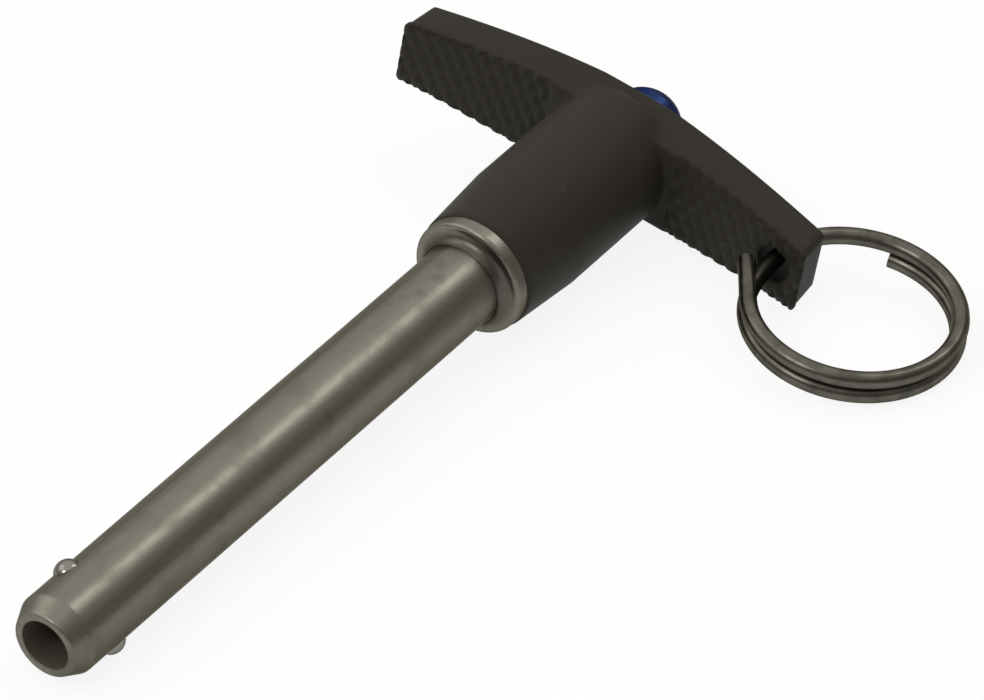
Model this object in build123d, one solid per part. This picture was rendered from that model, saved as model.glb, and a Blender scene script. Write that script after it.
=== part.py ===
"""T-handle ball lock pin, 3/8 inch, in millimetres.

Every piece is drawn in the pin's own axes, with its origin at the centre of the shoulder's front face:
+X runs along the pin to its nose, +Y along the wing that carries the split ring, and +Z out of the handle's
front. The finished pieces are then laid down together, as the pin lies on a flat surface: on its nose, on the
handle's hub and on the edge of the ring wing.
"""
import os
from math import acos, asin, atan, atan2, cos, degrees, pi, radians, sin, sqrt, tan

from build123d import *

# ---------------------------------------------------------------- driving dimensions
# Shank
shank_d = 9.5
bore_d = 5.7
grip_to_tip = 73.0            # shoulder face to the nose's end face
nose_bevel_length = 2.2
nose_face_d = 7.4
nose_edge_round = 0.45
bore_lip_round = 0.25
anchor_d = 12.0               # flange that the handle is moulded round
anchor_flat_width = 10.6      # across its two flats
anchor_length = 3.0
anchor_depth = 9.0            # from the shoulder face to the flange
shank_head_depth = 17.0       # from the shoulder face to the shank's inner end

# Locking balls
ball_d = 3.175
ball_to_tip = 7.4
ball_protrusion = 0.81        # of a ball past the shank when it locks
ball_angle = 138.6            # of the first ball, from +Y towards +Z
ball_gap = 0.03               # between a ball and its hole, and a ball and the spindle's cone
ball_sunk = 0.05              # of a ball below the shank's surface when it is released

# Spindle
spindle_gap = 0.06            # on the radius, in the shank's bore
press_travel = 2.6
groove_floor_d = 2.6
groove_flank = 45.0           # slope of the groove's far wall
groove_wall_gap = 0.25        # left between that wall and a released ball
spindle_tip_land = 1.7        # past the cone
stem_d = 3.5
stem_shoulder_depth = 15.5    # from the shoulder face to where the spindle narrows

# Shoulder collar
collar_d = 13.6
collar_thickness = 1.6
collar_fillet = 1.2           # from its face down to the shank
collar_fillet_lip = 0.08      # left at the fillet's thin end
collar_edge_round = 0.5
collar_spigot_d = 11.2
collar_spigot_length = 3.6

# Handle: hub
hub_d = 15.4
hub_foot_d = 14.0             # where it meets the collar
hub_barrel_depth = 11.0       # from the shoulder face to where the hub stops widening
hub_foot_round = 0.35
hub_top_drop = 1.45           # of the barrel's top below the handle's land
hub_top_round = 1.5

# Handle: wings. Depths and falls are along the pin, widths are across it.
handle_height = 31.15         # from the shoulder face to the flat land round the button
wing_half_span = 26.4
wing_end_draft = 0.3          # that the ends lean in at the top, and out at the underside
top_land_half_span = 4.6
crown_mid_span = 15.0
crown_mid_fall = 0.7          # of the crowned top at that span, below the land
crown_end_fall = 1.8
wing_root_depth = 4.55        # from the land to the underside beside the hub
wing_end_depth = 5.05
under_root_span = 3.0         # where the underside starts to rise towards the end
wing_inset = 0.65             # of the wings' top inside the hub's barrel, on each side
top_end_width = 7.8
under_width = 9.8
under_end_width = 8.0
wing_corner_round = 0.6
wing_top_round = 0.35
lip_height = 0.75             # of the raised band along the foot of a wing
lip_step = 0.12               # that it stands out
lip_round = 0.3

# Checkering under the wings
check_pitch = 1.88            # between diamonds along a wing
check_row = 1.64              # between rows of diamonds across a wing
check_depth = 0.38
check_groove_width = 1.3
check_start = 8.4             # from the pin's axis to the first diamonds

# Ring hole
ring_hole_d = 4.4
ring_hole_edge = 3.5          # from the hole's axis to the wing's end
ring_hole_chamfer = 0.3

# Button and spring
button_d = 8.2
button_gap = 0.08             # on the radius, in the handle
button_stand = 6.6            # of the dome past the handle's top land
button_dome = 2.7
button_length = 13.75
button_edge_round = 0.4
button_pocket_d = 7.2
button_pocket_depth = 4.0
stem_socket_depth = 5.0
well_lip_chamfer = 0.35
spring_wire_d = 0.7
spring_mean_d = 5.8
spring_turns = 6.5
spring_end_gap = 0.05
spring_steps = 12             # straight lengths that stand for one turn
spring_sides = 8              # flats that stand for the round wire

# Split ring. Its angles are about its own axis, from the side away from the wing, round by the nose side.
ring_wire_d = 1.95
ring_mean_d = 23.0
ring_layer_gap = 0.05
ring_skew = 12.0              # that the ring is turned in its own plane from straight through its hole
ring_first_end = -102.0
ring_jog_start = 164.0        # where the wire leaves the lower layer
ring_jog_end = 222.0          # where it reaches the upper one
ring_free_start = 145.0       # where the upper layer's end springs clear of the circle
ring_free_length = 6.2        # of that straight end

# Drawing
view_margin = 0.4             # that the side view's outline runs past the wings' ends
overshoot = 1.0               # of a cutter past the surface that it opens
same_place = 0.01             # two measures this close are one


def arc_radius(half_chord, rise):
    """Radius of the arc with this half chord and rise."""
    return (half_chord**2 + rise**2) / (2 * rise)


# ---------------------------------------------------------------- worked out
shank_r = shank_d / 2
bore_r = bore_d / 2
nose_x = grip_to_tip - nose_bevel_length
shank_head_x = -shank_head_depth

ball_r = ball_d / 2
ball_x = grip_to_tip - ball_to_tip
ball_rest_radius = shank_r + ball_protrusion - ball_r
ball_travel = ball_protrusion + ball_sunk
ball_direction = Vector(0, cos(radians(ball_angle)), sin(radians(ball_angle)))

spindle_r = bore_r - spindle_gap
cone_slope = ball_travel / press_travel
cone_radius_at_ball = ball_rest_radius - (ball_r + ball_gap) * sqrt(1 + cone_slope**2)
groove_floor_r = groove_floor_d / 2
cone_start_x = ball_x - (cone_radius_at_ball - groove_floor_r) / cone_slope
cone_end_x = ball_x + (spindle_r - cone_radius_at_ball) / cone_slope
released_depth = ball_rest_radius - ball_travel - spindle_r
groove_wall_x = ball_x - press_travel - sqrt(ball_r**2 - released_depth**2) - groove_wall_gap
groove_wall_length = (spindle_r - groove_floor_r) / tan(radians(groove_flank))
spindle_tip_x = cone_end_x + spindle_tip_land

top_land_x = -handle_height
top_mid_height = handle_height - crown_mid_fall
top_end_height = handle_height - crown_end_fall
under_root_height = handle_height - wing_root_depth
under_end_height = top_end_height - wing_end_depth
well_r = button_d / 2 + button_gap
button_top_x = top_land_x - button_stand
button_foot_x = button_top_x + button_length
pocket_floor_x = button_foot_x - button_pocket_depth
stem_end_x = pocket_floor_x - stem_socket_depth

hub_r = hub_d / 2
top_width = hub_d - 2 * wing_inset
hub_foot_x = -collar_thickness
view_span = wing_half_span + wing_end_draft + lip_step + view_margin
under_radius = arc_radius(view_span - under_root_span, under_root_height - under_end_height)

ring_r = ring_mean_d / 2
ring_hole_x = -(top_end_height + under_end_height) / 2
ring_hole_y = wing_half_span - ring_hole_edge
ring_layer_pitch = ring_wire_d + ring_layer_gap
ring_jog_r = sqrt(ring_r**2 + (ring_layer_pitch / 2) ** 2)
ring_centre_x = ring_hole_x + ring_jog_r * sin(radians(ring_skew))
ring_bow = (wing_end_depth / 2) ** 2 / ring_mean_d
ring_wire_y = ring_hole_y - ring_bow

# ---------------------------------------------------------------- the attitude at rest
# The nose and the hub's barrel set the pitch. The ring wing's crowned flank sets the roll.
rest_pitch = atan((hub_r - shank_r) / (nose_x + hub_barrel_depth))
flank_r = arc_radius(wing_half_span, (top_width - top_end_width) / 2)
flank_height = hub_r + (top_mid_height - hub_barrel_depth) * tan(rest_pitch)
rest_roll = -acos((flank_r - flank_height) / (flank_r - top_width / 2))
rest = Rot(Y=degrees(rest_pitch)) * Rot(X=degrees(rest_roll))

# The ring hangs from its hole until its far side touches the same surface.
surface_below_pin = hub_r - (hub_barrel_depth + ring_centre_x) * tan(rest_pitch)
ring_height = surface_below_pin + ring_wire_y * sin(rest_roll)
ring_reach = ring_r + ring_jog_r * cos(radians(ring_skew))
ring_tilt = -rest_roll - asin((ring_height - ring_wire_d - ring_layer_gap / 2) / ring_reach)


# ---------------------------------------------------------------- shapes used more than once
def turned(*points):
    """Solid of revolution about the pin's axis, from the corners of its half section: (along, radius)."""
    return revolve(make_face(Polyline(*points, close=True)), axis=Axis.X)


def rod(diameter, start, end):
    """Cylinder on the pin's axis between two places along it."""
    return Pos(X=(start + end) / 2) * Rot(Y=90) * Cylinder(diameter / 2, abs(end - start))


def rims(solid, radius, place):
    """Circular edges of a turned piece, by their radius and their place along the pin."""
    return [
        edge
        for edge in solid.edges().filter_by(GeomType.CIRCLE)
        if abs(edge.radius - radius) < same_place and abs(edge.arc_center.X - place) < same_place
    ]


def at_ball(direction):
    """Frame on the pin's axis at the balls, with its Z along a radial direction."""
    return Plane(origin=(ball_x, 0, 0), x_dir=(1, 0, 0), z_dir=direction).location


# ---------------------------------------------------------------- shank, balls and spindle
def make_shank():
    """Bored barrel with a bevelled nose, two ball holes with closed-in lips, and a flange for the handle."""
    barrel = turned(
        (shank_head_x, bore_r),
        (shank_head_x, shank_r),
        (nose_x, shank_r),
        (grip_to_tip, nose_face_d / 2),
        (grip_to_tip, bore_r),
    )
    barrel = fillet(rims(barrel, shank_r, nose_x) + rims(barrel, nose_face_d / 2, grip_to_tip), nose_edge_round)
    barrel = fillet(rims(barrel, bore_r, grip_to_tip), bore_lip_round)
    for direction in (ball_direction, -ball_direction):
        barrel -= at_ball(direction) * ball_hole()
    return barrel + (anchor() - rod(shank_d, shank_head_x, 0))


def anchor():
    """Flange with two flats, which stops the shank turning or pulling out of the handle."""
    flange = rod(anchor_d, -anchor_depth - anchor_length, -anchor_depth)
    flats = Box(2 * anchor_length, anchor_flat_width, anchor_d)
    return flange & Pos(X=-anchor_depth - anchor_length / 2) * flats


def ball_hole():
    """Hole for one ball, along +Z from the pin's axis: a drilled pocket, then a lip that holds the ball in."""
    pocket_r = ball_r + ball_gap
    drilled = Pos(Z=ball_rest_radius / 2) * Cylinder(pocket_r, ball_rest_radius)
    return drilled + Pos(Z=ball_rest_radius) * Sphere(pocket_r)


def make_ball(direction):
    """One locking ball, held out by the spindle."""
    return at_ball(direction) * Pos(Z=ball_rest_radius) * Sphere(ball_r)


def make_spindle():
    """Rod with the groove and cone that work the balls, and a stem for the button."""
    return turned(
        (stem_end_x, 0),
        (stem_end_x, stem_d / 2),
        (-stem_shoulder_depth, stem_d / 2),
        (-stem_shoulder_depth, spindle_r),
        (groove_wall_x - groove_wall_length, spindle_r),
        (groove_wall_x, groove_floor_r),
        (cone_start_x, groove_floor_r),
        (cone_end_x, spindle_r),
        (spindle_tip_x, spindle_r),
        (spindle_tip_x, 0),
    )


# ---------------------------------------------------------------- collar, button and spring
def make_collar():
    """Shoulder collar: a rounded rim, a fillet down to the shank, and a spigot that sits in the handle."""
    fillet_r = shank_r + collar_fillet_lip + collar_fillet
    collar = rod(collar_d, hub_foot_x, 0)
    collar = fillet(rims(collar, collar_d / 2, 0), collar_edge_round)
    collar += rod(collar_spigot_d, hub_foot_x - collar_spigot_length, hub_foot_x)
    collar += rod(2 * fillet_r, 0, collar_fillet)
    collar -= Pos(X=collar_fillet) * Rot(Y=90) * Torus(fillet_r, collar_fillet)
    return collar - rod(shank_d, hub_foot_x - collar_spigot_length, collar_fillet)


def make_button():
    """Domed button, with a pocket for the spring and a blind socket for the spindle's stem."""
    edge_r = button_d / 2
    dome_r = arc_radius(edge_r, button_dome)
    shoulder_x = button_top_x + button_dome
    body = rod(button_d, shoulder_x, button_foot_x)
    body += Pos(X=button_top_x + dome_r) * Sphere(dome_r) & rod(button_d, button_top_x - overshoot, shoulder_x)
    body = fillet(rims(body, edge_r, shoulder_x), button_edge_round)
    body -= rod(button_pocket_d, pocket_floor_x, button_foot_x)
    return body - rod(stem_d, stem_end_x, pocket_floor_x)


def make_spring():
    """Compression spring round the stem, between the shank's inner end and the button's pocket."""
    start = pocket_floor_x + spring_end_gap + spring_wire_d / 2
    length = shank_head_x - spring_end_gap - spring_wire_d / 2 - start
    steps = round(spring_turns * spring_steps)
    turns = [spring_turns * step / steps for step in range(steps + 1)]
    coil = Polyline(
        *[
            (
                start + length * turn / spring_turns,
                spring_mean_d / 2 * cos(2 * pi * turn),
                spring_mean_d / 2 * sin(2 * pi * turn),
            )
            for turn in turns
        ]
    )
    section = Plane(origin=coil @ 0, z_dir=coil % 0) * RegularPolygon(spring_wire_d / 2, spring_sides)
    return sweep(section, path=coil, transition=Transition.RIGHT)


# ---------------------------------------------------------------- handle
def plan_section(place, width, end_width, half_span):
    """Plan of both wings at one place along the pin: a long lens with square ends and rounded corners."""
    radius = arc_radius(half_span, (width - end_width) / 2)
    middle_r = radius - width / 2
    lens = Pos(Y=-middle_r) * Circle(radius) & Pos(Y=middle_r) * Circle(radius)
    plan = fillet((lens & Rectangle(2 * half_span, width)).vertices(), wing_corner_round)
    return Plane(origin=(place, 0, 0), x_dir=(0, 1, 0), z_dir=(1, 0, 0)) * plan


def wing_block(stand_out):
    """Solid with the wings' plan at every height, standing out from the plain flanks by a small step."""
    top = plan_section(
        top_land_x,
        top_width + 2 * stand_out,
        top_end_width + 2 * stand_out,
        wing_half_span - wing_end_draft + stand_out,
    )
    under = plan_section(
        -under_end_height,
        under_width + 2 * stand_out,
        under_end_width + 2 * stand_out,
        wing_half_span + wing_end_draft + stand_out,
    )
    return loft([top, under], ruled=True)


def under_height(span):
    """Height of the wings' underside, back from the shoulder face, at a place along a wing."""
    return under_root_height - under_radius + sqrt(under_radius**2 - (span - under_root_span) ** 2)


def under_edges(lift):
    """Underside of the +Y wing in the XY plane, raised by a lift, from past its end to the pin's axis."""
    middle_span = (under_root_span + view_span) / 2
    end = (-under_end_height - lift, view_span)
    middle = (-under_height(middle_span) - lift, middle_span)
    root = (-under_root_height - lift, under_root_span)
    return [ThreePointArc(end, middle, root), Line(root, (root[0], 0))]


def side_view(edges):
    """Slab wider than the handle, from the closed side view of its +Y half."""
    return extrude(make_face(edges), amount=top_width, both=True)


def over_underside(lift):
    """All that lies above the wings' underside, when that is raised by a lift."""
    above = top_land_x - overshoot
    rest_of_view = Polyline(
        (-under_root_height - lift, 0),
        (above, 0),
        (above, view_span),
        (-under_end_height - lift, view_span),
    )
    half = side_view(under_edges(lift) + [rest_of_view])
    return half + mirror(half, about=Plane.XZ)


def under_crown():
    """All that lies below the handle's crowned top."""
    land = Line((top_land_x, 0), (top_land_x, top_land_half_span))
    crown = ThreePointArc(land @ 1, (-top_mid_height, crown_mid_span), (-top_end_height, view_span))
    rest_of_view = Polyline((-top_end_height, view_span), (0, view_span), (0, 0), (top_land_x, 0))
    half = side_view([land, crown, rest_of_view])
    return half + mirror(half, about=Plane.XZ)


def border(faces):
    """Outer edges of some joined faces, less those in the plane between the wings."""
    found = {}
    for face in faces:
        for edge in face.edges():
            middle = tuple(round(value, 3) for value in edge.center())
            found.setdefault(middle, []).append(edge)
    outer = [edges[0] for edges in found.values() if len(edges) == 1]
    return [edge for edge in outer
            if edge.bounding_box().size.Y > same_place or abs(edge.center().Y) > same_place]


def make_wings():
    """Both wings in one: a drafted bar with a crowned top, ended below inside the lips."""
    return wing_block(0) & over_underside(lip_height / 2) & under_crown()


def make_hub():
    """Barrel between the wings: it widens from its foot, and its rounded top ends inside them."""
    top_x = top_land_x + hub_top_drop
    hub = turned(
        (hub_foot_x, 0),
        (hub_foot_x, hub_foot_d / 2),
        (-hub_barrel_depth, hub_r),
        (top_x, hub_r),
        (top_x, 0),
    )
    hub = fillet(rims(hub, hub_foot_d / 2, hub_foot_x), hub_foot_round)
    return fillet(rims(hub, hub_r, top_x), hub_top_round)


def make_lip():
    """Band along the foot of the +Y wing, round its flanks and its end, with a rounded lower edge."""
    lower, upper = under_edges(0), under_edges(lip_height)
    ends = [Line(lower[0] @ 0, upper[0] @ 0), Line(lower[1] @ 1, upper[1] @ 1)]
    band = side_view(lower + upper + ends) & wing_block(lip_step)
    under_faces = [face for face in band.faces() if face.normal_at(face.center()).X > 0.9]
    return fillet(border(under_faces), lip_round)


def hole_rims(handle):
    """Edges where the ring hole breaks out of the wing."""
    boxes = [(edge, edge.bounding_box()) for edge in handle.edges()]
    return [
        edge
        for edge, box in boxes
        if abs(box.center().Y - ring_hole_y) < same_place and abs(box.size.Y - ring_hole_d) < same_place
    ]


def checkering():
    """Grooves that cut the +Y wing's underside into rows of diamonds, in two slanting directions."""
    slant = atan2(check_row, check_pitch / 2)
    reach = under_width / 2 / tan(slant)
    count = int((wing_half_span - check_start + 2 * reach) / check_pitch) + 1
    grooves = []
    for number in range(count):
        span = check_start - reach + (number + 0.5) * check_pitch
        grooves += [groove(span, slant), groove(span, -slant)]
    field = Pos(X=-under_end_height, Y=check_start + wing_half_span) * Box(
        handle_height, 2 * wing_half_span, 2 * top_width
    )
    return [cutter & field for cutter in grooves]


def groove(span, slant):
    """V groove across the underside, through its middle at a place along the wing."""
    lean = asin((span - under_root_span) / under_radius)
    out = Vector(cos(lean), -sin(lean), 0)
    along = Vector(sin(lean), cos(lean), 0) * cos(slant) + Vector(0, 0, 1) * sin(slant)
    frame = Plane(origin=(-under_height(span), span, 0), x_dir=out.cross(along), z_dir=along)
    vee = Polyline(
        (0, -check_depth),
        (check_groove_width, check_depth),
        (-check_groove_width, check_depth),
        close=True,
    )
    return extrude(frame * make_face(vee), amount=top_width, both=True)


def make_handle():
    """Moulded T handle, with its lips, ring hole and checkering, and the seats of the pieces that it holds."""
    lip = make_lip()
    handle = make_wings() + make_hub() + lip + mirror(lip, about=Plane.XZ)
    top_faces = [
        face
        for face in handle.faces()
        if face.normal_at(face.center()).X < -0.9 and face.center().X < -top_end_height
    ]
    handle = fillet(border(top_faces), wing_top_round)
    handle -= Pos(Y=ring_hole_y) * rod(ring_hole_d, -under_end_height, top_land_x)
    handle = chamfer(hole_rims(handle), ring_hole_chamfer)
    grooves = checkering()
    handle -= grooves + [mirror(cutter, about=Plane.XZ) for cutter in grooves]
    handle -= rod(2 * well_r, top_land_x - overshoot, shank_head_x)
    handle -= rod(shank_d, shank_head_x, 0)
    handle -= rod(collar_spigot_d, hub_foot_x - collar_spigot_length, 0)
    handle -= anchor()
    return chamfer(rims(handle, well_r, top_land_x), well_lip_chamfer)


# ---------------------------------------------------------------- split ring
def ring_point(angle, layer):
    """Point on the ring's wire at an angle, with layer -1 for the upper layer and 1 for the lower one."""
    turn = radians(angle)
    return Vector(ring_r * cos(turn), ring_r * sin(turn), layer * ring_layer_pitch / 2)


def make_ring():
    """Split ring of round wire: most of two turns, one on the other, joined by a slanting jog in the hole."""
    lower = ThreePointArc(
        ring_point(ring_first_end, 1),
        ring_point((ring_first_end + ring_jog_start) / 2, 1),
        ring_point(ring_jog_start, 1),
    )
    upper = ThreePointArc(
        ring_point(ring_jog_end, -1),
        ring_point((ring_jog_end + ring_free_start + 360) / 2, -1),
        ring_point(ring_free_start, -1),
    )
    free_end = Line(upper @ 1, upper @ 1 + (upper % 1) * ring_free_length)
    middle = radians((ring_jog_start + ring_jog_end) / 2)
    rise = TangentArc(lower @ 1, Vector(cos(middle), sin(middle), 0) * ring_jog_r, tangent=lower % 1)
    level_off = TangentArc(rise @ 1, upper @ 0, tangent=rise % 1)
    section = Plane(origin=lower @ 0, z_dir=lower % 0) * Circle(ring_wire_d / 2)
    ring = sweep(section, path=Wire([lower, rise, level_off, upper, free_end]))
    away = Vector(0, cos(ring_tilt), sin(ring_tilt))
    wire_in_hole = Vector(ring_hole_x, ring_wire_y, 0)
    towards_centre = away * cos(radians(ring_skew)) + Vector(1, 0, 0) * sin(radians(ring_skew))
    centre = wire_in_hole + towards_centre * ring_jog_r
    return Plane(origin=centre, x_dir=away, z_dir=away.cross(Vector(1, 0, 0))).location * ring


# ---------------------------------------------------------------- all the pieces, laid down
def main():
    os.makedirs("parts", exist_ok=True)
    pieces = {
        "handle": make_handle(),
        "shank": make_shank(),
        "collar": make_collar(),
        "spindle": make_spindle(),
        "locking_ball_1": make_ball(ball_direction),
        "locking_ball_2": make_ball(-ball_direction),
        "button": make_button(),
        "button_spring": make_spring(),
        "split_ring": make_ring(),
    }
    for name, piece in pieces.items():
        export_step(rest * piece, f"parts/{name}.step")


if __name__ == "__main__":
    main()
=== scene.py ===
"""Looks for the ball lock pin: materials, floor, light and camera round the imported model.

Lengths are in metres, except where a comment says mm. The pin's axes have x along the pin from
the collar's face to the nose, y along the ring's wing, and z square to both.
"""
from math import cos, radians, sin, tau

import bpy
from mathutils import Matrix, Vector


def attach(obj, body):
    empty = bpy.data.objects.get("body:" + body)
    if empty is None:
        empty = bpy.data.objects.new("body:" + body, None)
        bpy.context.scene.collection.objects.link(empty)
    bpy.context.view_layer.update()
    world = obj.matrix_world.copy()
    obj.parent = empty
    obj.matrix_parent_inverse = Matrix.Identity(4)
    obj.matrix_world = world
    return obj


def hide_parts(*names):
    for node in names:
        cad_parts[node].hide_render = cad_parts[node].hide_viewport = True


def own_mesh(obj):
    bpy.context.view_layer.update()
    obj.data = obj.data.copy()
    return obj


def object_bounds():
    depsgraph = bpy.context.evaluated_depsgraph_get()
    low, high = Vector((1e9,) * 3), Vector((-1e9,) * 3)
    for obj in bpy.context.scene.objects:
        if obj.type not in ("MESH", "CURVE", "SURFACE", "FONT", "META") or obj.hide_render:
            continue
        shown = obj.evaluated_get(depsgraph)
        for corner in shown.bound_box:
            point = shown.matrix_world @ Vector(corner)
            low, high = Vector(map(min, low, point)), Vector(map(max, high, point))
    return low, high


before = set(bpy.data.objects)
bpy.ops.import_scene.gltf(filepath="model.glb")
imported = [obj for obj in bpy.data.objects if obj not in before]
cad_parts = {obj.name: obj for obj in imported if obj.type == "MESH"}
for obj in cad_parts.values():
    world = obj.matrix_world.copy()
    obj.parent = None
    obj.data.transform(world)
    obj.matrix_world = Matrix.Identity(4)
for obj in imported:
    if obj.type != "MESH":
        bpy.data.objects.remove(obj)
cad_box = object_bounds()

# ---------------------------------------------------------------- driving values
REST_ROLL = radians(-9.2)         # of the pin about its own axis, as it lies
REST_PITCH = radians(2.07)        # of the pin's nose towards the floor
AT_REST = Matrix.Rotation(REST_PITCH, 4, "Y") @ Matrix.Rotation(REST_ROLL, 4, "X")

# Camera
CAMERA_PLACE = (0.48797, 0.33057, 0.43570)
CAMERA_RIGHT = (-0.57462, 0.81790, 0.02926)  # across the picture
CAMERA_UP = (-0.47987, -0.36564, 0.79757)    # up the picture
CAMERA_LENS = 251.4               # in mm
CAMERA_SENSOR = 36.0              # in mm
CAMERA_NEAR, CAMERA_FAR = 0.01, 50.0

# Floor
FLOOR_SIDE = 8.0
FLOOR_WHITE = (0.93, 0.925, 0.915)
FLOOR_SHADE = (0.915, 0.91, 0.90)
FLOOR_GLOW = 0.88                 # share of plain white, to the eye and to polished metal

# Light
SKY_LEAN = (-0.10, -0.42, 1.0)    # way in which the sky brightens, as a vector
SKY = [                           # (dot product of a direction with that, colour)
    (0.0, (0.300, 0.288, 0.262)),
    (0.38, (0.390, 0.378, 0.352)),
    (0.62, (0.80, 0.785, 0.755)),
    (0.95, (1.15, 1.13, 1.09)),
]
LAMP_COLOUR = (1.0, 0.988, 0.965)
LAMPS = [                         # (name, direction from the part, distance, size, watts)
    ("key_overhead", (-0.58, 0.17, 0.79), 1.2, (0.24, 0.60), 1.28),
    ("key_nose", (0.713, -0.203, 0.671), 1.2, (0.40, 0.40), 2.7),
    ("fill_left", (0.35, -0.85, 0.75), 1.4, (0.9, 0.7), 1.6),
]

# Return spring
SPRING_ENDS = (-0.02760, -0.01740)  # of the wire's middle line, along the pin
SPRING_RADIUS = 0.0029
SPRING_WIRE_RADIUS = 0.00035
SPRING_TURNS = 6.5
SPRING_DEAD_TURNS = 0.8           # closed at each end
SPRING_STEPS = 40                 # a turn
SPRING_WIRE_RESOLUTION = 3        # of the curve's bevel, which gives the wire ten sides

# Ground steel of the shank, collar and spindle
STEEL = (0.195, 0.186, 0.157)
STEEL_DARK = (0.168, 0.160, 0.135)
STEEL_LIGHT = (0.205, 0.196, 0.167)
STEEL_PATCH = (0.130, 0.125, 0.109)
STEEL_STAIN = (0.085, 0.086, 0.084)
STEEL_EDGE = (0.41, 0.40, 0.365, 1.0)
BORE_REACH = 0.00292              # from the pin's axis
BORE_FILM = (0.112, 0.096, 0.078)
FILLET_START = 0.00477            # from the pin's axis, where the collar's fillet leaves the shank
FILLET_END = 0.0062
FILLET_FACE = -0.0002             # along the pin, just behind the collar's face
# painted shade in the collar's fillet, darkest by the shank
FILLET_PAINTED_SHADE = (0.062, 0.057, 0.048)
FLANK = (0.0, 0.966, -0.259)      # way that the flank with painted shade faces, in the pin's axes
# painted shade along that flank
FLANK_PAINTED_SHADE = (0.092, 0.084, 0.066)
FLANK_SHADE_GROWS = (0.040, 0.066)   # along the pin, where the painted shade starts and stops growing
FLANK_SHARES = (0.22, 0.55)       # of the painted shade's strength, there
NEAR_AXIS = 1e-5                  # least distance from the axis that anything is divided by

# Other metals
RING_STEEL = (0.124, 0.117, 0.099)
RING_DULL = (0.072, 0.068, 0.058)
CHROME = (0.24, 0.233, 0.21)
CHROME_HAZE = (0.19, 0.184, 0.166)
BALL_EDGE = (0.40, 0.40, 0.38, 1.0)
BUTTON_DARK = (0.014, 0.027, 0.088)
BUTTON_LIGHT = (0.025, 0.048, 0.135)
BUTTON_RUBBED = (0.050, 0.075, 0.17)
BUTTON_EDGE = (0.10, 0.13, 0.25, 1.0)
BUTTON_TURNING = 52000            # of the turning rings' wave, in radians a metre from the axis
WIRE_DARK = (0.30, 0.29, 0.27)
WIRE_LIGHT = (0.42, 0.41, 0.38)

# Moulded plastic of the handle
PLASTIC_DARK = (0.0235, 0.0204, 0.0154)
PLASTIC_LIGHT = (0.0285, 0.0250, 0.0192)
PLASTIC_DUST = (0.055, 0.050, 0.042)
PLASTIC_WORN = (0.037, 0.033, 0.027)
PLASTIC_SCUFF = (0.125, 0.116, 0.100)
WORN_REACH = 0.00028              # of the rubbing along edges
SOFT_REACH = 0.0014               # of the rounding that moulding gives to small forms

# Marks: centre in mm in the pin's axes, radius in mm, strength
STAINS = [
    ((6.4, 0.0, 4.75), 2.3, 0.50),
    ((4.6, -0.8, 4.7), 1.4, 0.28),
    ((9.6, 0.2, 4.7), 1.7, 0.50),
    ((11.2, -0.9, 4.6), 1.2, 0.40),
    ((13.0, -1.6, 4.5), 1.5, 0.35),
    ((30.0, 3.4, 3.3), 1.9, 0.4),
    ((49.0, 3.8, 2.9), 1.6, 0.35),
    ((60.0, 1.2, 4.6), 1.4, 0.3),
]
SCUFFS = [
    ((-24.4, 25.2, 0.6), 0.34, 0.9),
    ((-24.4, 25.7, 0.9), 0.26, 0.8),
    ((-24.6, 26.2, 1.1), 0.34, 1.0),
    ((-25.1, 26.6, 0.9), 0.26, 0.6),
    ((-29.8, 19.8, 4.7), 0.40, 0.6),
    ((-28.7, 21.3, 4.6), 0.32, 0.4),
    ((-12.0, 3.0, 7.1), 0.45, 0.35),
    ((-17.5, -2.0, 7.4), 0.5, 0.3),
]
MM_IN_METRE = 1000
MARK_RAGGED = 0.9                 # share of a mark's radius by which its edge wanders

SMOOTH_ANGLE = radians(34)        # between faces that shade as one


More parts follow.
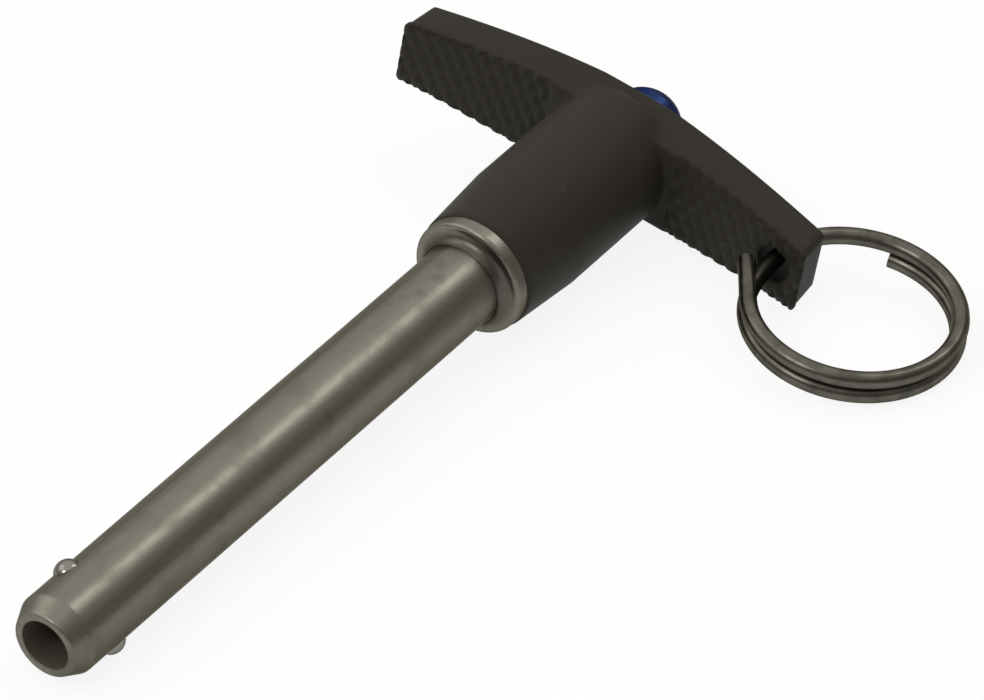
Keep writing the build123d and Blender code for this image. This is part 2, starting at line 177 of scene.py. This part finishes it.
# ---------------------------------------------------------------- node helpers
class Nodes:
    """Short calls for building one node tree."""

    def __init__(self, tree):
        self.tree = tree
        self.tree.nodes.clear()

    def add(self, kind, inputs=None, **settings):
        """A node, with its settings by name and its inputs by name or number."""
        node = self.tree.nodes.new(kind)
        for name, value in settings.items():
            setattr(node, name, value)
        for name, value in (inputs or {}).items():
            self.put(node.inputs[name], value)
        return node

    def put(self, socket, value):
        """Links a socket to another, or gives it a value."""
        if isinstance(value, bpy.types.NodeSocket):
            self.tree.links.new(value, socket)
        else:
            socket.default_value = value

    def math(self, operation, *values, clamp=False):
        """Result of one Math node."""
        node = self.add("ShaderNodeMath", operation=operation, use_clamp=clamp)
        for socket, value in zip(node.inputs, values):
            self.put(socket, value)
        return node.outputs[0]

    def line(self, value, start, gain):
        """The start, plus the gain times the value."""
        return self.math("ADD", start, self.math("MULTIPLY", value, gain))

    def dot(self, first, second):
        """Dot product of two vectors."""
        inputs = {0: first, 1: second}
        node = self.add("ShaderNodeVectorMath", operation="DOT_PRODUCT", inputs=inputs)
        return node.outputs["Value"]

    def spread(self, value, start, end, low=0.0, high=1.0):
        """The value's place between start and end, from low to high and held there beyond."""
        inputs = {0: value, 1: start, 2: end, 3: low, 4: high}
        return self.add("ShaderNodeMapRange", inputs=inputs).outputs[0]

    def ramp(self, value, stops):
        """Colour ramp from (place, colour or grey) stops."""
        node = self.add("ShaderNodeValToRGB", inputs={0: value})
        elements = node.color_ramp.elements
        while len(elements) < len(stops):
            elements.new(0.5)
        for element, (place, colour) in zip(elements, stops):
            shade = colour if isinstance(colour, tuple) else (colour,) * 3
            element.position = place
            element.color = (*shade, 1)
        return node.outputs[0]

    def noise(self, vector, scale, detail, rough=0.6):
        """Cloudy noise, with the scale in cycles to a unit of the vector."""
        inputs = {"Vector": vector, "Scale": scale, "Detail": detail, "Roughness": rough}
        return self.add("ShaderNodeTexNoise", inputs=inputs).outputs[0]

    def mix(self, factor, first, second):
        """Blend of two colours."""
        node = self.add("ShaderNodeMix", data_type="RGBA", inputs={0: factor})
        for socket, colour in zip((node.inputs[6], node.inputs[7]), (first, second)):
            self.put(socket, (*colour, 1) if isinstance(colour, tuple) else colour)
        return node.outputs[2]

    def bump(self, height, strength, distance, normal=None):
        """Normal bent by a height, starting from another normal if one is given."""
        inputs = {"Height": height, "Strength": strength, "Distance": distance}
        if normal is not None:
            inputs["Normal"] = normal
        return self.add("ShaderNodeBump", inputs=inputs).outputs[0]

    def bevel(self, reach, samples):
        """Normal as it would be with the edges rounded over that reach."""
        return self.add("ShaderNodeBevel", samples=samples, inputs={"Radius": reach}).outputs[0]

    def pin_axes(self):
        """Place on the object in the pin's axes."""
        here = self.add("ShaderNodeTexCoord").outputs["Object"]
        inputs = {"Vector": here, "Rotation": (REST_ROLL, REST_PITCH, 0)}
        return self.add("ShaderNodeMapping", vector_type="TEXTURE", inputs=inputs).outputs[0]

    def parts(self, vector):
        """The x, y and z of a vector."""
        return self.add("ShaderNodeSeparateXYZ", inputs={0: vector}).outputs[:]

    def surface(self, **inputs):
        """Principled surface, wired to the output, with its inputs by name."""
        shader = self.add("ShaderNodeBsdfPrincipled")
        for name, value in inputs.items():
            self.put(shader.inputs[name.replace("_", " ")], value)
        self.add("ShaderNodeOutputMaterial", inputs={"Surface": shader.outputs[0]})


def material(name):
    """A new material and its node tree, emptied."""
    made = bpy.data.materials.new(name)
    made.use_nodes = True
    return made, Nodes(made.node_tree)


# ---------------------------------------------------------------- masks
def from_axis(nodes, place):
    """Distance from the pin's axis."""
    y, z = nodes.parts(place)[1:]
    squares = nodes.math("ADD", nodes.math("MULTIPLY", y, y), nodes.math("MULTIPLY", z, z))
    return nodes.math("SQRT", squares)


def round_the_pin(nodes, place, along_scale, round_scale):
    """Place wrapped round the pin, so that a pattern runs along it or round it with no seam."""
    x, y, z = nodes.parts(place)
    radius = nodes.math("MAXIMUM", from_axis(nodes, place), NEAR_AXIS)
    turned = [nodes.math("DIVIDE", side, radius) for side in (y, z)]
    wrapped = {0: nodes.math("MULTIPLY", x, along_scale)}
    for number, side in enumerate(turned, 1):
        wrapped[number] = nodes.math("MULTIPLY", side, round_scale)
    return nodes.add("ShaderNodeCombineXYZ", inputs=wrapped).outputs[0]


def spots(nodes, place, marks):
    """Mask of soft round marks with ragged edges."""
    cloud = nodes.noise(place, scale=1300, detail=4, rough=0.65)
    ragged = nodes.math("MULTIPLY", cloud, MARK_RAGGED)
    mask = 0.0
    for centre, radius, strength in marks:
        inputs = {0: place, 1: [value / MM_IN_METRE for value in centre]}
        gap = nodes.add("ShaderNodeVectorMath", operation="DISTANCE", inputs=inputs)
        near = nodes.math("DIVIDE", gap.outputs["Value"], radius / MM_IN_METRE)
        soft = nodes.ramp(nodes.math("ADD", near, ragged), [(0.45, strength), (1.0, 0.0)])
        mask = nodes.math("MAXIMUM", mask, soft)
    return mask


def inside_bore(nodes, place):
    """One inside the shank's bore, where oil dulls the wall, and nought outside it."""
    return nodes.math("LESS_THAN", from_axis(nodes, place), BORE_REACH)


def fillet_painted_shade(nodes, place):
    """Painted shade in the collar's fillet: full by the shank and fading out towards the rim."""
    out = nodes.spread(from_axis(nodes, place), FILLET_START, FILLET_END)
    held = nodes.ramp(out, [(0.0, 0.0), (0.02, 0.75), (0.55, 0.62), (1.0, 0.0)])
    in_front = nodes.math("GREATER_THAN", nodes.parts(place)[0], FILLET_FACE)
    return nodes.math("MULTIPLY", held, in_front)


def flank_painted_shade(nodes, place, cloud):
    """Painted shade along one flank of the pin, stronger towards the nose."""
    radius = nodes.math("MAXIMUM", from_axis(nodes, place), NEAR_AXIS)
    facing = nodes.math("DIVIDE", nodes.dot(place, FLANK), radius)
    around = nodes.ramp(facing, [(0.52, 0.0), (0.93, 1.0)])
    along = nodes.spread(nodes.parts(place)[0], *FLANK_SHADE_GROWS, *FLANK_SHARES)
    patchy = nodes.line(cloud, start=0.65, gain=0.7)
    return nodes.math("MULTIPLY", nodes.math("MULTIPLY", around, along), patchy, clamp=True)


# ---------------------------------------------------------------- materials
def steel_material():
    """Ground and passivated steel: fine turning lines, rub marks along the pin, dull patches, and
    painted shade in the collar's fillet and along one flank.
    """
    made, nodes = material("steel_ground")
    place = nodes.pin_axes()
    along = round_the_pin(nodes, place, along_scale=22, round_scale=9)
    rubs = nodes.noise(along, scale=1.0, detail=6, rough=0.65)
    around = round_the_pin(nodes, place, along_scale=5200, round_scale=1.2)
    lines = nodes.noise(around, scale=1.0, detail=3, rough=0.5)
    patches = nodes.noise(place, scale=210, detail=5, rough=0.62)
    specks = nodes.noise(place, scale=1500, detail=2, rough=0.5)
    oiled = inside_bore(nodes, place)
    tone = nodes.ramp(rubs, [(0.34, STEEL_DARK), (0.52, STEEL), (0.70, STEEL_LIGHT)])
    tone = nodes.mix(nodes.ramp(patches, [(0.50, 0.0), (0.74, 0.5)]), tone, STEEL_PATCH)
    tone = nodes.mix(spots(nodes, place, STAINS), tone, STEEL_STAIN)
    tone = nodes.mix(oiled, tone, BORE_FILM)
    # painted shade: the collar's fillet darkened
    tone = nodes.mix(fillet_painted_shade(nodes, place), tone, FILLET_PAINTED_SHADE)
    # painted shade: one flank darkened, more towards the nose
    tone = nodes.mix(flank_painted_shade(nodes, place, rubs), tone, FLANK_PAINTED_SHADE)
    rough = nodes.line(rubs, start=0.27, gain=0.10)
    rough = nodes.line(nodes.ramp(patches, [(0.45, 0.0), (0.8, 1.0)]), start=rough, gain=0.16)
    normal = nodes.bump(lines, strength=0.16, distance=0.00002)
    normal = nodes.bump(specks, strength=0.05, distance=0.00003, normal=normal)
    nodes.surface(
        Base_Color=tone,
        Metallic=nodes.line(oiled, start=1.0, gain=-0.85),
        Roughness=rough,
        Specular_Tint=STEEL_EDGE,
        Normal=normal,
    )
    return made


def ring_material():
    """Tumbled spring-steel wire: darker, with dull spots."""
    made, nodes = material("steel_ring")
    place = nodes.pin_axes()
    dull = nodes.noise(place, scale=420, detail=4)
    fine = nodes.noise(place, scale=2600, detail=2, rough=0.5)
    nodes.surface(
        Base_Color=nodes.mix(nodes.ramp(dull, [(0.42, 0.0), (0.7, 1.0)]), RING_STEEL, RING_DULL),
        Metallic=1.0,
        Roughness=nodes.line(dull, start=0.23, gain=0.13),
        Specular_Tint=STEEL_EDGE,
        Normal=nodes.bump(fine, strength=0.04, distance=0.00003),
    )
    return made


def chrome_material():
    """Polished bearing ball, with the faintest haze."""
    made, nodes = material("ball_polished")
    haze = nodes.noise(nodes.pin_axes(), scale=1800, detail=3, rough=0.5)
    nodes.surface(
        Base_Color=nodes.mix(haze, CHROME, CHROME_HAZE),
        Metallic=1.0,
        Roughness=nodes.line(haze, start=0.05, gain=0.09),
        Specular_Tint=BALL_EDGE,
        Normal=nodes.bump(haze, strength=0.03, distance=0.00002),
    )
    return made


def handle_material():
    """Moulded black plastic: fine grain, rubbed edges, dust and a few scuffs."""
    made, nodes = material("handle_moulded")
    place = nodes.pin_axes()
    grain = nodes.noise(place, scale=2400, detail=3, rough=0.55)
    cloud = nodes.noise(place, scale=160, detail=5)
    dust = nodes.noise(place, scale=900, detail=5, rough=0.7)
    true_normal = nodes.add("ShaderNodeNewGeometry").outputs["Normal"]
    bent = nodes.dot(nodes.bevel(WORN_REACH, samples=4), true_normal)
    edge = nodes.ramp(bent, [(0.86, 1.0), (0.985, 0.0)])
    worn = nodes.math("MULTIPLY", edge, nodes.ramp(cloud, [(0.38, 0.15), (0.66, 0.75)]))
    tone = nodes.mix(cloud, PLASTIC_DARK, PLASTIC_LIGHT)
    tone = nodes.mix(nodes.ramp(dust, [(0.62, 0.0), (0.80, 0.30)]), tone, PLASTIC_DUST)
    tone = nodes.mix(worn, tone, PLASTIC_WORN)
    tone = nodes.mix(spots(nodes, place, SCUFFS), tone, PLASTIC_SCUFF)
    rough = nodes.line(cloud, start=0.55, gain=0.12)
    normal = nodes.bevel(SOFT_REACH, samples=8)
    normal = nodes.bump(grain, strength=0.22, distance=0.00005, normal=normal)
    nodes.surface(
        Base_Color=tone,
        Roughness=nodes.line(worn, start=rough, gain=-0.10),
        Specular_IOR_Level=0.17,
        Normal=nodes.bump(cloud, strength=0.10, distance=0.00025, normal=normal),
    )
    return made


def button_material():
    """Blue anodised aluminium: satin, with turning rings on the dome and paler rubs."""
    made, nodes = material("button_anodised")
    place = nodes.pin_axes()
    cloud = nodes.noise(place, scale=500, detail=4)
    rings = nodes.math("SINE", nodes.math("MULTIPLY", from_axis(nodes, place), BUTTON_TURNING))
    tone = nodes.mix(cloud, BUTTON_DARK, BUTTON_LIGHT)
    nodes.surface(
        Base_Color=nodes.mix(nodes.ramp(cloud, [(0.62, 0.0), (0.80, 0.35)]), tone, BUTTON_RUBBED),
        Metallic=0.85,
        Roughness=nodes.line(cloud, start=0.26, gain=0.14),
        Specular_Tint=BUTTON_EDGE,
        Normal=nodes.bump(rings, strength=0.05, distance=0.00002),
    )
    return made


def spring_material():
    """Drawn spring wire, a little brighter than the ring."""
    made, nodes = material("spring_wire")
    drawn = nodes.noise(nodes.pin_axes(), scale=1400, detail=3)
    nodes.surface(
        Base_Color=nodes.mix(drawn, WIRE_DARK, WIRE_LIGHT),
        Metallic=1.0,
        Roughness=nodes.line(drawn, start=0.25, gain=0.2),
        Normal=nodes.bump(drawn, strength=0.1, distance=0.00002),
    )
    return made


def dress(names, made):
    """Puts a material on CAD nodes and shades their round faces smooth."""
    for name in names:
        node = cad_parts[name]
        for slot in node.material_slots:
            slot.material = made
        node.data.shade_smooth()
        node.data.set_sharp_from_angle(angle=SMOOTH_ANGLE)


# ---------------------------------------------------------------- return spring
def helix():
    """Points of the return spring's wire in the pin's axes, with closed turns at both ends."""
    first, last = SPRING_ENDS
    closed = 2 * SPRING_WIRE_RADIUS * SPRING_DEAD_TURNS
    open_pitch = (last - first - 2 * closed) / (SPRING_TURNS - 2 * SPRING_DEAD_TURNS)
    for step in range(round(SPRING_TURNS * SPRING_STEPS) + 1):
        turn = step / SPRING_STEPS
        dead = min(turn, SPRING_DEAD_TURNS) + max(turn - (SPRING_TURNS - SPRING_DEAD_TURNS), 0)
        along = first + 2 * SPRING_WIRE_RADIUS * dead + open_pitch * (turn - dead)
        yield along, SPRING_RADIUS * cos(tau * turn), SPRING_RADIUS * sin(tau * turn)


def wind_spring(made):
    """Return spring in the button's pocket: round wire."""
    path = bpy.data.curves.new("spring_path", "CURVE")
    path.dimensions = "3D"
    path.bevel_depth = SPRING_WIRE_RADIUS
    path.bevel_resolution = SPRING_WIRE_RESOLUTION
    path.use_fill_caps = True
    run = path.splines.new("POLY")
    places = list(helix())
    run.points.add(len(places) - 1)
    for point, place in zip(run.points, places):
        point.co = (*place, 1)
    guide = bpy.data.objects.new("spring_path", path)
    bpy.context.scene.collection.objects.link(guide)
    graph = bpy.context.evaluated_depsgraph_get()
    mesh = bpy.data.meshes.new_from_object(guide.evaluated_get(graph))
    bpy.data.objects.remove(guide)
    mesh.transform(AT_REST)
    mesh.shade_smooth()
    mesh.set_sharp_from_angle(angle=SMOOTH_ANGLE)
    mesh.materials.clear()
    mesh.materials.append(made)
    spring = bpy.data.objects.new("return_spring", mesh)
    bpy.context.scene.collection.objects.link(spring)
    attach(spring, "body")
    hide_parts("button_spring")
    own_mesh(spring)


# ---------------------------------------------------------------- floor, light and camera
def make_floor(height):
    """Pale floor, mostly plain white to the eye and in reflections, so that it looks even."""
    half = FLOOR_SIDE / 2
    corners = [(x * half, y * half, height) for x, y in ((-1, -1), (1, -1), (1, 1), (-1, 1))]
    mesh = bpy.data.meshes.new("floor")
    mesh.from_pydata(corners, [], [(0, 1, 2, 3)])
    floor = bpy.data.objects.new("floor", mesh)
    bpy.context.scene.collection.objects.link(floor)
    made, nodes = material("floor_pale")
    here = nodes.add("ShaderNodeTexCoord").outputs["Object"]
    mottle = nodes.noise(here, scale=6.0, detail=3)
    tone = nodes.mix(mottle, FLOOR_WHITE, FLOOR_SHADE)
    plain = nodes.add("ShaderNodeBsdfDiffuse", inputs={"Color": tone}).outputs[0]
    white_inputs = {"Color": (1, 1, 1, 1), "Strength": 1.0}
    white = nodes.add("ShaderNodeEmission", inputs=white_inputs).outputs[0]
    rays = nodes.add("ShaderNodeLightPath").outputs
    seen = nodes.math("ADD", rays["Is Camera Ray"], rays["Is Glossy Ray"])
    seen = nodes.math("ADD", seen, rays["Is Transmission Ray"], clamp=True)
    share = nodes.math("MULTIPLY", seen, FLOOR_GLOW)
    both = nodes.add("ShaderNodeMixShader", inputs={0: share, 1: plain, 2: white}).outputs[0]
    nodes.add("ShaderNodeOutputMaterial", inputs={"Surface": both})
    mesh.materials.append(made)


def make_world():
    """Soft studio: to the camera, dim at the low right and pale overhead and at the left."""
    world = bpy.data.worlds.new("studio")
    bpy.context.scene.world = world
    world.use_nodes = True
    nodes = Nodes(world.node_tree)
    direction = nodes.add("ShaderNodeTexCoord").outputs["Generated"]
    colour = nodes.ramp(nodes.dot(direction, SKY_LEAN), SKY)
    sky = nodes.add("ShaderNodeBackground", inputs={"Color": colour, "Strength": 1.0})
    nodes.add("ShaderNodeOutputWorld", inputs={"Surface": sky.outputs[0]})


def softbox(name, direction, distance, size, watts):
    """Area light of the given width and height, aimed at the middle of the part."""
    aim = (cad_box[0] + cad_box[1]) / 2
    data = bpy.data.lights.new(name, "AREA")
    data.shape = "RECTANGLE"
    data.size, data.size_y = size
    data.energy = watts
    data.color = LAMP_COLOUR
    light = bpy.data.objects.new(name, data)
    towards = Vector(direction).normalized()
    light.location = aim + towards * distance
    light.rotation_euler = towards.to_track_quat("Z", "Y").to_euler()
    bpy.context.scene.collection.objects.link(light)


def make_camera():
    """Long lens from beyond the nose, above the pin and to the ring's side of it."""
    data = bpy.data.cameras.new("camera")
    data.lens = CAMERA_LENS
    data.sensor_width = CAMERA_SENSOR
    data.clip_start = CAMERA_NEAR
    data.clip_end = CAMERA_FAR
    camera = bpy.data.objects.new("camera", data)
    right = Vector(CAMERA_RIGHT).normalized()
    back = right.cross(Vector(CAMERA_UP)).normalized()
    turn = Matrix((right, back.cross(right), back)).transposed().to_4x4()
    camera.matrix_world = Matrix.Translation(CAMERA_PLACE) @ turn
    bpy.context.scene.collection.objects.link(camera)
    bpy.context.scene.camera = camera


# ---------------------------------------------------------------- the scene
dress(["shank", "collar", "spindle"], steel_material())
dress(["locking_ball_1", "locking_ball_2"], chrome_material())
dress(["handle"], handle_material())
dress(["button"], button_material())
wind_spring(spring_material())
dress(["split_ring"], ring_material())

make_floor(cad_box[0][2])
make_world()
for lamp in LAMPS:
    softbox(*lamp)
make_camera()
bpy.context.scene.view_settings.view_transform = "Standard"
